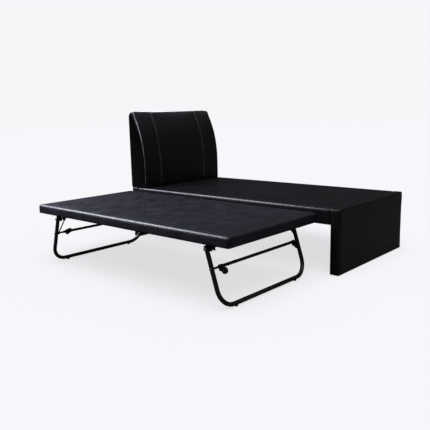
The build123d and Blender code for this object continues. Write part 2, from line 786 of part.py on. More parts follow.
# Curved gusset welded inside the foot frame's rear leg, under the pivot.
gusset_side = across("foot", "rear")
with BuildPart() as corner_gusset:
    with BuildSketch(leg_plane("foot")):
        with BuildLine():
            Polyline(
                (gusset_side * inner_face, -gusset_end),
                (gusset_side * inner_face, -gusset_start),
                (gusset_side * (inner_face - gusset_reach), -gusset_start),
                (gusset_side * (inner_face - gusset_reach), -gusset_start - gusset_lip),
            )
            Bezier(
                (gusset_side * (inner_face - gusset_reach), -gusset_start - gusset_lip),
                (gusset_side * (inner_face - gusset_lip), -gusset_start - gusset_lip),
                (gusset_side * inner_face, -gusset_end),
            )
        make_face()
    extrude(amount=gusset_thickness / 2, both=True)
save(corner_gusset.part, "corner_gusset")

# =====================================================================
# Stays of the head frame
# =====================================================================

stay_low = Vector(pivot_x["head"] + stay_low_x, 0, pivot_z + stay_low_z)
stay_high = Vector(pivot_x["head"] + stay_reach, 0, track_pin_z)
for side, sign in sides.items():
    at_side = Vector(0, leg_y(side, stay_offset), 0)
    with BuildPart() as stay:
        with BuildSketch(Plane(origin=stay_low + at_side, z_dir=stay_high - stay_low)):
            Circle(stay_radius)
        extrude(amount=stay_length)
        with BuildSketch(Plane(origin=stay_low + at_side, z_dir=(0, 1, 0))):
            Circle(stay_eye_radius)
        extrude(amount=stay_eye_thickness / 2, both=True)
        with BuildSketch(
            Plane(origin=stay_high + Vector(0, leg_y(side, stay_boss_inner), 0), z_dir=(0, -sign, 0))
        ):
            Circle(stay_boss_radius)
        extrude(amount=stay_boss_outer - stay_boss_inner)
        with BuildSketch(Plane(origin=stay_low + at_side, z_dir=(0, 1, 0))):
            Circle(crossbar_neck_radius + running_clearance)
        extrude(amount=2 * stay_eye_thickness, both=True, mode=Mode.SUBTRACT)
    save(stay.part, f"{side}_stay")

# =====================================================================
# Swivel casters, outside the crossbars, hanging by their own weight
# =====================================================================

fork_top = crossbar_radius + caster_plate_thickness + caster_swivel_gap
arm_start = wheel_width / 2 + fork_gap
for end in ends:
    for side in sides:
        swivel_x = across(end, side) * (half_span - caster_inset[end])
        frame_plane = leg_plane(end)
        caster_plane = Plane(
            origin=frame_plane.from_local_coords(Vector(swivel_x, -crossbar_reach, 0)),
            x_dir=frame_plane.x_dir,
            z_dir=frame_plane.z_dir,
        )
        wheel_centre = caster_plane.from_local_coords(Vector(0, -caster_trail, wheel_offset))
        arm_centre = Plane(origin=wheel_centre, x_dir=caster_plane.y_dir, z_dir=(0, 1, 0))

        # Fork: a round bridge plate under the swivel and two arms beside the wheel.
        with BuildPart() as fork:
            with BuildSketch(caster_plane.offset(fork_top)):
                Circle(fork_bridge_radius)
                with Locations((0, -caster_trail / 2)):
                    Rectangle(2 * (arm_start + fork_thickness), caster_trail)
            extrude(amount=fork_thickness / 2)
            for arm_sign in (-1, 1):
                arm_low = caster_plane.from_local_coords(Vector(arm_sign * arm_start, 0, 0))
                arm_plane = Plane(
                    origin=arm_low, x_dir=caster_plane.y_dir, z_dir=arm_sign * caster_plane.x_dir
                )
                hub = arm_plane.to_local_coords(wheel_centre)
                root = arm_plane.to_local_coords(
                    caster_plane.from_local_coords(Vector(0, -caster_trail / 2, fork_top))
                )
                with BuildSketch(arm_plane):
                    with BuildLine():
                        Polyline(
                            (root.X + caster_trail / 2, root.Y),
                            (hub.X + axle_head_radius, hub.Y),
                            (hub.X - axle_head_radius, hub.Y),
                            (root.X - caster_trail / 2, root.Y),
                            close=True,
                        )
                    make_face()
                    with Locations((hub.X, hub.Y)):
                        Circle(axle_head_radius)
                        Circle(axle_radius + running_clearance, mode=Mode.SUBTRACT)
                extrude(amount=fork_thickness)
        save(fork.part, f"{end}_{side}_caster_fork")

        with BuildPart() as axle:
            with BuildSketch(arm_centre):
                Circle(axle_radius)
            extrude(amount=arm_start + fork_thickness, both=True)
            for arm_sign in (-1, 1):
                with BuildSketch(
                    Plane(
                        origin=wheel_centre + Vector(0, arm_sign * (arm_start + fork_thickness), 0),
                        z_dir=(0, arm_sign, 0),
                    )
                ):
                    Circle(axle_head_radius)
                extrude(amount=axle_head_height)
        save(axle.part, f"{end}_{side}_caster_axle")

        with BuildPart() as wheel:
            with BuildSketch(arm_centre):
                Circle(wheel_radius)
                Circle(axle_radius + 2 * running_clearance, mode=Mode.SUBTRACT)
            extrude(amount=wheel_width / 2, both=True)
            fillet(
                wheel.edges().filter_by(GeomType.CIRCLE).sort_by(SortBy.RADIUS)[-2:], wheel_edge_roll
            )
        save(wheel.part, f"{end}_{side}_wheel")
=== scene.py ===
# %% [markdown]
# # An upholstered bed bench with its pull-out cot
#
# The bench is a low platform between two padded end panels, with a tall headboard. Beside it
# stands a thin padded deck on two folding legs of bent tube. The measured model is already
# made: this lesson loads it, dresses it in leather-look covers, thread, paint and zinc, and
# lights it like a catalogue picture.
#
# Every length is in metres, in the same frame as the measured model, so a new piece goes where
# the model's own boxes say.

# %% Load the measured model
import json
from math import atan2, ceil, cos, pi, radians, sin, sqrt, tanh, tau

import bmesh
import bpy
from mathutils import Matrix, Vector, noise


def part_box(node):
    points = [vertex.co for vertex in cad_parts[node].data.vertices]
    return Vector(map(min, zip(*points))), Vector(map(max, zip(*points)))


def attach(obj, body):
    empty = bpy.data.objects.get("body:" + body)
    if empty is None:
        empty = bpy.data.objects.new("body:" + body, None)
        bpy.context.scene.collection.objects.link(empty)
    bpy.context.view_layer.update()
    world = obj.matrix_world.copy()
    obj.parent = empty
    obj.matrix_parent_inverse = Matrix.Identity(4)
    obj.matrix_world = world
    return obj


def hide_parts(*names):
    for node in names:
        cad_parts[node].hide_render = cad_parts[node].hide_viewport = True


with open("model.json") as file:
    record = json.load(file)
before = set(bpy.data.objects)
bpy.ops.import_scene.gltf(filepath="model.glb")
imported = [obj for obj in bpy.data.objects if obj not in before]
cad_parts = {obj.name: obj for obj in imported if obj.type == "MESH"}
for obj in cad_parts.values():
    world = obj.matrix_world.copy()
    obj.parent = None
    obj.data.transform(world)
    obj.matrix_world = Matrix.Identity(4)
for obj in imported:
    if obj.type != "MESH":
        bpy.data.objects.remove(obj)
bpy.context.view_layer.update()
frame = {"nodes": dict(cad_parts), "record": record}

MM = 0.001

# %% [markdown]
# ## The camera
#
# A camera could be aimed with a Track To constraint, or by hand. Here its three axes are put in
# its matrix, because the viewing angle must be exact: a small roll, eye height about a metre.

# %% Camera
def into_scene(name, data):
    """A new object that holds the data, linked to the scene."""
    holder = bpy.data.objects.new(name, data)
    bpy.context.scene.collection.objects.link(holder)
    return holder


camera_place = Vector((2.5435, -2.8855, 1.009))
looking = Vector((-0.6561, 0.7317, -0.1849)).normalized()
camera_roll = -0.023
lens_mm = 45.2
sensor_mm = 36

level_right = looking.cross(Vector((0, 0, 1))).normalized()
level_up = level_right.cross(looking)
camera_right = level_right * cos(camera_roll) + level_up * sin(camera_roll)
camera_up = level_up * cos(camera_roll) - level_right * sin(camera_roll)

camera_data = bpy.data.cameras.new("catalogue_camera")
camera_data.lens = lens_mm
camera_data.sensor_width = sensor_mm
camera = into_scene("catalogue_camera", camera_data)
camera_axes = Matrix((camera_right, camera_up, -looking)).transposed()
camera.matrix_world = Matrix.Translation(camera_place) @ camera_axes.to_4x4()
bpy.context.scene.camera = camera
print("camera at", tuple(round(value, 3) for value in camera_place))

# %% [markdown]
# ## Short-cuts for node trees
#
# The backdrop, the effects and the finishes are all trees of nodes. These functions add a node
# to any tree and feed its sockets, with a link or with a plain value.

# %% Node short-cuts
def feed(tree, value, socket):
    """Links a socket to the socket, or sets a plain number, vector or colour on it."""
    if isinstance(value, bpy.types.NodeSocket):
        tree.links.new(value, socket)
    elif socket.type == "RGBA":
        socket.default_value = (*value, 1.0)
    else:
        socket.default_value = value


def add_node(tree, kind, **values):
    """A node of that kind, with its named sockets fed."""
    node = tree.nodes.new(kind)
    for label, value in values.items():
        feed(tree, value, node.inputs[label.replace("_", " ")])
    return node


def texture(tree, kind, place, scale, **settings):
    """A texture node, such as Noise, read at place."""
    return add_node(tree, "ShaderNodeTex" + kind, Vector=place, Scale=scale, **settings)


def figure(tree, operation, *values, clamp=False):
    """A Math node on links or plain numbers."""
    node = tree.nodes.new("ShaderNodeMath")
    node.operation = operation
    node.use_clamp = clamp
    for value, socket in zip(values, node.inputs):
        feed(tree, value, socket)
    return node.outputs[0]


def spread(tree, value, low, high, new_low=0.0, new_high=1.0):
    """A Map Range node that clamps."""
    return add_node(
        tree, "ShaderNodeMapRange",
        Value=value, From_Min=low, From_Max=high, To_Min=new_low, To_Max=new_high,
    ).outputs["Result"]


def show(tree, kind, seen, otherwise):
    """Ends the tree: one shader for the camera, the other for light that is on its way round."""
    pick_shader = tree.nodes.new("ShaderNodeMixShader")
    camera_ray = tree.nodes.new("ShaderNodeLightPath").outputs["Is Camera Ray"]
    for value, socket in zip((camera_ray, otherwise.outputs[0], seen.outputs[0]), pick_shader.inputs):
        feed(tree, value, socket)
    add_node(tree, kind, Surface=pick_shader.outputs[0])


# %% [markdown]
# ## Floor, backdrop and light
#
# A seamless paper sweep could be modelled as a bent sheet, but a large flat floor under a world
# of the same pale tone has no visible join. The world is pale only where the camera sees it
# straight. For reflections it is dim overhead and nearly black at the horizon, so black leather
# stays black: seen at a flat angle, even dull vinyl mirrors what stands behind it.
#
# The main light is a long soft box, high on the left: a round lamp would give each rounded edge
# a short glint, the long box lays one soft line along it. A narrow upright strip at the front
# shapes the upright edges. A wider one lights only the welts, which are too thin to show
# otherwise, and one behind only the headboard. Light linking also keeps the first two off the
# floor, so the paper stays even, and off the headboard, so its side stays dark. A weak overhead
# sun with a very wide disc gives the floor its soft shadow.

# %% Stage and lights
paper_white = (0.93, 0.913, 0.939)
room_tint = (0.93, 0.91, 1.0)
lit_tone = (0.36, 0.355, 0.362)
dull_tone = (0.125, 0.125, 0.13)
glow_share = 0.766
view = bpy.context.scene.view_settings
view.view_transform = "Standard"
view.look = "None"

world = bpy.data.worlds.new("pale_studio")
bpy.context.scene.world = world
world.use_nodes = True
studio = world.node_tree
studio.nodes.clear()
sky_place = studio.nodes.new("ShaderNodeTexCoord").outputs["Generated"]
sky_parts = add_node(studio, "ShaderNodeSeparateXYZ", Vector=sky_place).outputs
overhead = spread(studio, sky_parts["Z"], 0.3, 0.85, 0.02, 0.36)
side_glow = spread(studio, sky_parts["X"], 0.0, 0.7, 0.0, 0.07)
both_glows = figure(studio, "ADD", overhead, side_glow)
room = add_node(studio, "ShaderNodeBackground", Color=room_tint, Strength=both_glows)
seen_paper = add_node(studio, "ShaderNodeBackground", Color=paper_white)
show(studio, "ShaderNodeOutputWorld", seen_paper, room)

fill_power, fill_width = 1.3, 60
fill_lamp = bpy.data.lights.new("overhead_fill", "SUN")
fill_lamp.energy = fill_power
fill_lamp.angle = radians(fill_width)
overhead_fill = into_scene("overhead_fill", fill_lamp)
overhead_fill.rotation_euler = Vector((0.15, -0.25, 0.95)).to_track_quat("Z", "Y").to_euler()


def soft_box(name, one_end, other_end, depth, power, aim):
    """A rectangular lamp whose long side runs between two points, turned towards aim."""
    one_end, other_end, aim = Vector(one_end), Vector(other_end), Vector(aim)
    centre = (one_end + other_end) / 2
    along = (other_end - one_end).normalized()
    across = (centre - aim).normalized().cross(along).normalized()
    lamp = bpy.data.lights.new(name, "AREA")
    lamp.shape = "RECTANGLE"
    lamp.size = (other_end - one_end).length
    lamp.size_y = depth
    lamp.energy = power
    lamp.color = (0.88, 0.9, 1.0)
    stand = into_scene(name, lamp)
    axes = Matrix((along, across, along.cross(across))).transposed()
    stand.matrix_world = Matrix.Translation(centre) @ axes.to_4x4()
    stand.visible_camera = False
    return stand


def keep_off(lamp_stand, piece):
    """Leaves a piece out of a lamp's light."""
    linking = lamp_stand.light_linking
    if linking.receiver_collection is None:
        linking.receiver_collection = bpy.data.collections.new(f"unlit_by_{lamp_stand.name}")
    linking.receiver_collection.objects.link(piece)
    for entry in linking.receiver_collection.collection_objects:
        entry.light_linking.link_state = "EXCLUDE"


def only_lights(lamp_stand):
    """The collection of the pieces that a lamp will light: it lights nothing else."""
    lit = bpy.data.collections.new(f"lit_by_{lamp_stand.name}")
    lamp_stand.light_linking.receiver_collection = lit
    return lit


board_side = (-0.85, 0.0, 0.8)
long_box = soft_box("long_box", (-3.4, -1.2, 1.9), (-1.04, -1.5, 2.66), 1.5, 210.0, (-0.1, -0.4, 0.4))
side_strip = soft_box("side_strip", (-2.0, -2.8, 0.75), (-2.0, -2.8, 2.0), 0.35, 16.0, board_side)
welt_strip = soft_box("welt_strip", (-2.0, -2.9, 0.95), (-1.9, -2.7, 2.5), 1.3, 560.0, board_side)

floor_size = 80
bpy.ops.object.select_all(action="DESELECT")
bpy.ops.mesh.primitive_grid_add(x_subdivisions=4, y_subdivisions=4, size=floor_size)
floor = bpy.context.object
floor.name = "studio_floor"

floor_paint = bpy.data.materials.new("pale_floor")
floor_paint.use_nodes = True
paper = floor_paint.node_tree
paper.nodes.clear()
glowing_paper = add_node(paper, "ShaderNodeEmission", Color=paper_white, Strength=glow_share)
lit_paper = add_node(paper, "ShaderNodeBsdfDiffuse", Color=lit_tone)
dull_paper = add_node(paper, "ShaderNodeBsdfDiffuse", Color=dull_tone)
add_paper = paper.nodes.new("ShaderNodeAddShader")
feed(paper, glowing_paper.outputs[0], add_paper.inputs[0])
feed(paper, lit_paper.outputs[0], add_paper.inputs[1])
show(paper, "ShaderNodeOutputMaterial", add_paper, dull_paper)
floor.data.materials.append(floor_paint)

keep_off(long_box, floor)
keep_off(side_strip, floor)
back_box = soft_box("back_box", (-3.2, 1.2, 1.4), (-3.2, 2.8, 1.4), 1.0, 70.0, (-0.95, 0.5, 0.7))
lit_by_back_box = only_lights(back_box)
lit_by_welt_strip = only_lights(welt_strip)

# %% [markdown]
# ## Effects that several finishes share
#
# Grain, clouds, rubbed patches, scratches and dust turn up on leather, paint, zinc and wood
# alike. Instead of being drawn again in every material, each is a node group with named inputs,
# made once and used with its own values. It gives out only values: the shader itself stays in
# the material.

# %% How a group is made
def effect(name, numbers, outputs=("Mask",), vectors=("Place",)):
    """An empty node group with named sockets: the group, what it is given, what it gives out."""
    group = bpy.data.node_groups.new(name, "ShaderNodeTree")
    for label in vectors:
        group.interface.new_socket(name=label, in_out="INPUT", socket_type="NodeSocketVector")
    for label, value in numbers.items():
        socket = group.interface.new_socket(name=label, in_out="INPUT", socket_type="NodeSocketFloat")
        socket.default_value = value
    for label in outputs:
        group.interface.new_socket(name=label, in_out="OUTPUT", socket_type="NodeSocketFloat")
    given, result = group.nodes.new("NodeGroupInput"), group.nodes.new("NodeGroupOutput")
    return group, given.outputs, result.inputs


# %% The shared effects
grain, given, result = effect("pebble_grain", {"Scale": 480.0, "Crease": 0.35}, ("Height", "Valley"))
warp = texture(grain, "Noise", given["Place"], 90.0, Detail=2.0)
warp_mix = grain.nodes.new("ShaderNodeVectorMath")
warp_mix.operation = "MULTIPLY_ADD"
warp_reach = (0.004, 0.004, 0.004)
for value, socket in zip((warp.outputs["Color"], warp_reach, given["Place"]), warp_mix.inputs):
    feed(grain, value, socket)
pebbles = texture(grain, "Voronoi", warp_mix.outputs[0], given["Scale"])
pores = texture(grain, "Noise", given["Place"], 1500.0, Detail=1.0)
valley = spread(grain, pebbles.outputs["Distance"], given["Crease"], 0.75)
bumps = figure(grain, "SUBTRACT", 1.0, valley)
feed(grain, figure(grain, "MULTIPLY_ADD", pores.outputs["Fac"], 0.25, bumps), result["Height"])
feed(grain, valley, result["Valley"])

clouds, given, result = effect("cloudiness", {"Scale": 5.0})
broad = texture(clouds, "Noise", given["Place"], given["Scale"], Detail=5.0, Roughness=0.62)
feed(clouds, spread(clouds, broad.outputs["Fac"], 0.32, 0.7), result["Mask"])

rubbed, given, result = effect("rubbed_patches", {"Scale": 14.0, "Amount": 0.2})
patches = texture(rubbed, "Noise", given["Place"], given["Scale"], Detail=6.0, Roughness=0.7)
patch_start = figure(rubbed, "SUBTRACT", 0.86, figure(rubbed, "MULTIPLY", given["Amount"], 0.4))
patch_full = figure(rubbed, "ADD", patch_start, 0.05)
feed(rubbed, spread(rubbed, patches.outputs["Fac"], patch_start, patch_full), result["Mask"])

scratches, given, result = effect("fine_scratches", {"Scale": 60.0})
stretch = add_node(scratches, "ShaderNodeMapping", Vector=given["Place"], Scale=(0.04, 1.0, 1.0))
stretch.inputs["Rotation"].default_value = (0.3, 0.2, 0.6)
hairs = texture(scratches, "Noise", stretch.outputs[0], given["Scale"], Detail=3.0)
feed(scratches, spread(scratches, hairs.outputs["Fac"], 0.66, 0.72), result["Mask"])

dust, given, result = effect("settled_dust", {"Amount": 0.3}, vectors=("Place", "Facing"))
facing_parts = add_node(dust, "ShaderNodeSeparateXYZ", Vector=given["Facing"])
upward = spread(dust, facing_parts.outputs["Z"], 0.3, 1.0)
motes = texture(dust, "Noise", given["Place"], 35.0, Detail=7.0, Roughness=0.75)
lying = figure(dust, "MULTIPLY", upward, spread(dust, motes.outputs["Fac"], 0.45, 0.75))
feed(dust, figure(dust, "MULTIPLY", lying, given["Amount"]), result["Mask"])

ridges, given, result = effect("drawn_grain", {"Rings": 55.0}, ("Tone", "Height"))
drawn = add_node(ridges, "ShaderNodeMapping", Vector=given["Place"], Scale=(0.12, 1.0, 1.0))
bands = texture(ridges, "Wave", drawn.outputs[0], given["Rings"], Distortion=6.0, Detail=3.0)
fibres = texture(ridges, "Noise", drawn.outputs[0], 420.0, Detail=3.0)
band_share = figure(ridges, "MULTIPLY", bands.outputs["Fac"], 0.6)
tone = figure(ridges, "MULTIPLY_ADD", fibres.outputs["Fac"], 0.4, band_share)
feed(ridges, tone, result["Tone"])
feed(ridges, fibres.outputs["Fac"], result["Height"])
print("effects:", sorted(group.name for group in bpy.data.node_groups))

# %% [markdown]
# ## The finishes
#
# A finish is one Principled shader whose colour, roughness and bump come from the effects. The
# pattern follows Object coordinates, which are true metres here, so a 2 mm grain is a scale of
# about 500 everywhere, on a small screw and on a two metre cover.

# %% How a finish is put together
def dimmed(color, factor):
    """The colour times a factor."""
    return [value * factor for value in color]


class Finish:
    """A material with one Principled shader, its place on the surface and short-cuts to link."""

    def __init__(self, name):
        self.material = bpy.data.materials.new(name)
        self.material.use_nodes = True
        self.tree = self.material.node_tree
        self.tree.nodes.clear()
        self.shader = self.tree.nodes.new("ShaderNodeBsdfPrincipled")
        add_node(self.tree, "ShaderNodeOutputMaterial", Surface=self.shader.outputs[0])
        self.place = self.tree.nodes.new("ShaderNodeTexCoord").outputs["Object"]
        self.facing = self.tree.nodes.new("ShaderNodeNewGeometry").outputs["Normal"]

    def use(self, group, **values):
        """Drops an effect in and returns its outputs by name."""
        node = self.tree.nodes.new("ShaderNodeGroup")
        node.node_tree = group
        feed(self.tree, self.place, node.inputs["Place"])
        if "Facing" in node.inputs:
            feed(self.tree, self.facing, node.inputs["Facing"])
        for label, value in values.items():
            feed(self.tree, value, node.inputs[label])
        return node.outputs

    def mask(self, group, **values):
        """The same, for an effect that gives out one mask."""
        return self.use(group, **values)["Mask"]

    def scaled(self, value, factor, start=0.0, clamp=False):
        """The value times factor plus start."""
        return figure(self.tree, "MULTIPLY_ADD", value, factor, start, clamp=clamp)

    def blend(self, mask, first, second):
        """A colour that goes from the first to the second as the mask goes from 0 to 1."""
        node = add_node(self.tree, "ShaderNodeMix")
        node.data_type = "RGBA"
        feed(self.tree, mask, node.inputs["Factor"])
        for label, color in (("A", first), ("B", second)):
            socket = next(s for s in node.inputs if s.name == label and s.type == "RGBA")
            feed(self.tree, color, socket)
        return next(s for s in node.outputs if s.type == "RGBA")

    def emboss(self, height, distance, strength=1.0, under=None):
        """A Bump node of that real depth; under is the normal that it builds on."""
        node = add_node(self.tree, "ShaderNodeBump", Distance=distance, Strength=strength, Height=height)
        if under is not None:
            feed(self.tree, under, node.inputs["Normal"])
        return node.outputs["Normal"]

    def finish(self, color, roughness, normal, **plain):
        """Links the changing values and sets the plain ones on the shader itself."""
        linked = {"Base Color": color, "Roughness": roughness, "Normal": normal}
        for label, value in {**linked, **plain}.items():
            feed(self.tree, value, self.shader.inputs[label.replace("_", " ")])
        return self.material


# %% [markdown]
# Leather-look is a vinyl skin with a pressed pebble grain. Black vinyl shows almost no colour
# of its own, only a broad soft sheen, greyer where it is rubbed or powdery. So the base is nearly
# black, the clouds move roughness as well as tone, and the grain is bump at its true size.

# %% Leather-look covers
def leather_look(name, deep, wear_and_sheen_tone, cloud_scale, rough, gloss, dusty, grain_scale=480.0):
    """A vinyl cover: deep is its colour, the next tone its greyer one, greyer from wear and on the cot
    also from painted sheen; rough its smoothest and dullest.
    """
    crease_depth, wave_depth = 0.04 * MM, 1.2 * MM
    skin = Finish(name)
    pebble = skin.use(grain, Scale=grain_scale, Crease=0.3)
    cloudy = skin.mask(clouds, Scale=cloud_scale)
    powder = skin.mask(dust, Amount=dusty)
    scuffs = skin.mask(rubbed, Scale=9.0, Amount=0.32)
    color = skin.blend(cloudy, deep, wear_and_sheen_tone)
    # Painted shade: the creases between the grain's pebbles are darkened in the colour.
    color = skin.blend(skin.scaled(pebble["Valley"], 0.5), color, dimmed(deep, 0.45))
    color = skin.blend(skin.scaled(scuffs, 0.3), color, dimmed(wear_and_sheen_tone, 1.6))
    color = skin.blend(powder, color, (0.16, 0.16, 0.17))
    dull = skin.scaled(cloudy, rough[1] - rough[0], rough[0])
    dull = skin.scaled(pebble["Valley"], 0.12, dull, clamp=True)
    pressed = skin.emboss(pebble["Height"], crease_depth)
    sagging = skin.mask(clouds, Scale=cloud_scale * 2.3)
    waved = skin.emboss(sagging, wave_depth, 0.5, under=pressed)
    return skin.finish(color, dull, waved, Specular_IOR_Level=gloss)


finishes = {}
finishes["leather_look"] = leather_look(
    "black_leather_look", (0.0025, 0.0022, 0.0033), (0.0037, 0.0033, 0.0054),
    3.2, (0.24, 0.31), 0.42, 0.003,
)
# Painted sheen: the cot's vinyl has finer clouds, and both its tones are lighter and bluer than the
# bench's, which lays the deck top's grey-blue reflection into the colour of the whole cover.
finishes["cot_leather_look"] = leather_look(
    "cloudy_black_leather_look_with_painted_sheen", (0.0032, 0.0032, 0.0062), (0.0105, 0.0107, 0.0205),
    11.0, (0.29, 0.38), 0.45, 0.015, grain_scale=420.0,
)

# %% [markdown]
# The tube is black enamel: hard, glossy, with a faint orange peel and a few chips spread by a
# noise. Pressed steel has the same paint laid thinner, so it is duller.
# Zinc is bright metal with fine scratches and a bluish tint.

# %% Paint, zinc, moulded parts
def enamel(name, tone, smooth, chips, peel_depth):
    """Black paint on steel; chips is how much of it is rubbed through."""
    paint = Finish(name)
    cloudy = paint.mask(clouds, Scale=26.0)
    bare = paint.mask(rubbed, Scale=38.0, Amount=chips)
    hair = paint.mask(scratches, Scale=80.0)
    powder = paint.mask(dust, Amount=0.06)
    color = paint.blend(cloudy, tone, dimmed(tone, 1.5))
    color = paint.blend(powder, color, (0.13, 0.13, 0.13))
    color = paint.blend(bare, color, (0.33, 0.33, 0.34))
    dull = paint.scaled(cloudy, 0.1, smooth)
    dull = paint.scaled(hair, 0.12, dull)
    dull = paint.scaled(powder, 0.5, dull, clamp=True)
    peel = texture(paint.tree, "Noise", paint.place, 650.0, Detail=1.0)
    bumpy = paint.emboss(peel.outputs["Fac"], peel_depth)
    return paint.finish(color, dull, bumpy, Specular_IOR_Level=0.5, Metallic=paint.scaled(bare, 0.7))


finishes["black_enamel"] = enamel("gloss_black_enamel", (0.0055, 0.0055, 0.0062), 0.2, 0.2, 0.06 * MM)
finishes["black_steel"] = enamel("satin_black_steel", (0.009, 0.009, 0.0095), 0.36, 0.3, 0.08 * MM)


def plated(name, bright, dim, smooth):
    """Bare plated metal with fine scratches and dull clouds."""
    metal = Finish(name)
    cloudy = metal.mask(clouds, Scale=110.0)
    hair = metal.mask(scratches, Scale=260.0)
    color = metal.blend(cloudy, bright, dim)
    color = metal.blend(hair, color, dimmed(dim, 0.8))
    dull = metal.scaled(cloudy, 0.16, smooth)
    dull = metal.scaled(hair, 0.15, dull, clamp=True)
    return metal.finish(color, dull, metal.emboss(hair, 0.03 * MM), Metallic=1.0)


finishes["zinc_steel"] = plated("bright_zinc", (0.68, 0.69, 0.71), (0.48, 0.49, 0.5), 0.24)


def moulded(name, tone, smooth, speckle):
    """A moulded black plastic or rubber with a fine spark-eroded texture."""
    stuff = Finish(name)
    pebble = stuff.use(grain, Scale=speckle, Crease=0.2)
    scuffs = stuff.mask(rubbed, Scale=70.0, Amount=0.5)
    powder = stuff.mask(dust, Amount=0.12)
    # Painted shade: the creases of the grain are darkened in the colour.
    color = stuff.blend(pebble["Valley"], tone, dimmed(tone, 0.6))
    color = stuff.blend(stuff.scaled(scuffs, 0.6), color, (0.05, 0.05, 0.052))
    color = stuff.blend(powder, color, (0.15, 0.15, 0.15))
    dull = stuff.scaled(scuffs, 0.2, smooth)
    dull = stuff.scaled(powder, 0.5, dull, clamp=True)
    rough_face = stuff.emboss(pebble["Height"], 0.08 * MM)
    return stuff.finish(color, dull, rough_face, Specular_IOR_Level=0.45)


finishes["nylon"] = moulded("black_nylon", (0.011, 0.011, 0.012), 0.38, 1400.0)
finishes["wheel_rubber"] = moulded("black_rubber", (0.013, 0.013, 0.013), 0.62, 1100.0)

# %% [markdown]
# Under the covers there is softwood and board, and a black non-woven lining is stapled below.
# Wood tone comes from bands stretched one way, like rings that were sawn lengthways, and the
# lining from pressed fibres that run every way, with small weld dots.

# %% Timber and lining
def sawn_wood(name, early, late):
    """Raw sawn wood with rings, fibres, pores and a rough face."""
    wood = Finish(name)
    figured = wood.use(ridges, Rings=30.0)
    cloudy = wood.mask(clouds, Scale=7.0)
    color = wood.blend(figured["Tone"], early, late)
    color = wood.blend(wood.scaled(cloudy, 0.35), color, dimmed(early, 0.72))
    dull = wood.scaled(figured["Height"], 0.2, 0.58, clamp=True)
    sawn = wood.emboss(figured["Height"], 0.3 * MM)
    return wood.finish(color, dull, sawn, Specular_IOR_Level=0.3)


finishes["timber"] = sawn_wood("sawn_softwood", (0.56, 0.4, 0.24), (0.34, 0.2, 0.1))


def pressed_fibre(name, tone):
    """Non-woven lining: matted fibres and a grid of weld dots."""
    mat = Finish(name)
    matting = texture(mat.tree, "Noise", mat.place, 900.0, Detail=4.0, Roughness=0.8).outputs["Fac"]
    dots = texture(mat.tree, "Voronoi", mat.place, 330.0, Randomness=0.1)
    weld = spread(mat.tree, dots.outputs["Distance"], 0.16, 0.26)
    powder = mat.mask(dust, Amount=0.1)
    cloudy = mat.mask(clouds, Scale=12.0)
    color = mat.blend(matting, tone, dimmed(tone, 2.2))
    color = mat.blend(mat.scaled(cloudy, 0.4), color, dimmed(tone, 0.6))
    color = mat.blend(powder, color, (0.12, 0.12, 0.12))
    dull = mat.scaled(matting, 0.2, 0.75, clamp=True)
    welded = mat.emboss(weld, 0.2 * MM, under=mat.emboss(matting, 0.2 * MM))
    return mat.finish(color, dull, welded, Specular_IOR_Level=0.2)


finishes["lining"] = pressed_fibre("black_lining", (0.012, 0.012, 0.013))


def twisted_thread(name, light, dark):
    """Sewing thread: two plies that wind round each other."""
    thread = Finish(name)
    ply = texture(thread.tree, "Wave", thread.place, 900.0, Distortion=2.0).outputs["Fac"]
    cloudy = thread.mask(clouds, Scale=60.0)
    # Painted shade: the ply bands are dark where the plies wind into each other.
    color = thread.blend(ply, dark, light)
    color = thread.blend(thread.scaled(cloudy, 0.4), color, dark)
    dull = thread.scaled(cloudy, 0.1, 0.5)
    return thread.finish(color, dull, thread.emboss(ply, 0.2 * MM), Sheen_Weight=0.2)


# Painted highlight: the thread is grey, lightened until it carries the seam ridges' highlight.
finishes["seam_thread"] = twisted_thread("grey_thread_with_painted_highlight", (0.42, 0.42, 0.435), (0.16, 0.16, 0.166))
print("finishes:", sorted(finishes))

# %% [markdown]
# ## The measured parts get their finishes
#
# Each hard part of the measured model has the right shape already, so only its material slots
# are filled. The record says which slot each part belongs to.

# %% Dress the measured parts
for part_row in frame["record"]["subparts"]:
    measured = frame["nodes"][part_row["node"]]
    for number in range(len(measured.material_slots)):
        measured.material_slots[number].material = finishes[part_row["material_slot"]]

# %% [markdown]
# ## Tools for covers
#
# A stapled cover is a rounded block, open below. It could be lofted from curves, but a block
# with its edges bevelled keeps clean four-sided faces. Subdivide on all long edges that run one
# way cuts it into even strips. The dense, even mesh is then ready for cloth.

# %% Tools
def let_go():
    """Back to object mode with nothing selected."""
    if bpy.context.object is not None and bpy.context.object.mode != "OBJECT":
        bpy.ops.object.mode_set(mode="OBJECT")
    bpy.ops.object.select_all(action="DESELECT")


def choose(piece):
    """Object mode, with only this piece selected and active."""
    let_go()
    piece.select_set(True)
    bpy.context.view_layer.objects.active = piece


def block(name, low, high):
    """A box between two corners, its place in its mesh."""
    let_go()
    low, high = Vector(low), Vector(high)
    bpy.ops.mesh.primitive_cube_add(size=1, location=(low + high) / 2, scale=high - low)
    piece = bpy.context.object
    piece.name = piece.data.name = name
    bpy.ops.object.transform_apply(location=True, rotation=True, scale=True)
    return piece


def ring(name, places, **settings):
    """Blender's circle, its points moved to those places, in edit mode with all selected."""
    let_go()
    bpy.ops.mesh.primitive_circle_add(vertices=len(places), **settings)
    piece = bpy.context.object
    piece.name = piece.data.name = name
    for vertex, place in zip(piece.data.vertices, places):
        vertex.co = place
    bpy.ops.object.mode_set(mode="EDIT")
    bpy.ops.mesh.select_all(action="SELECT")
    return piece


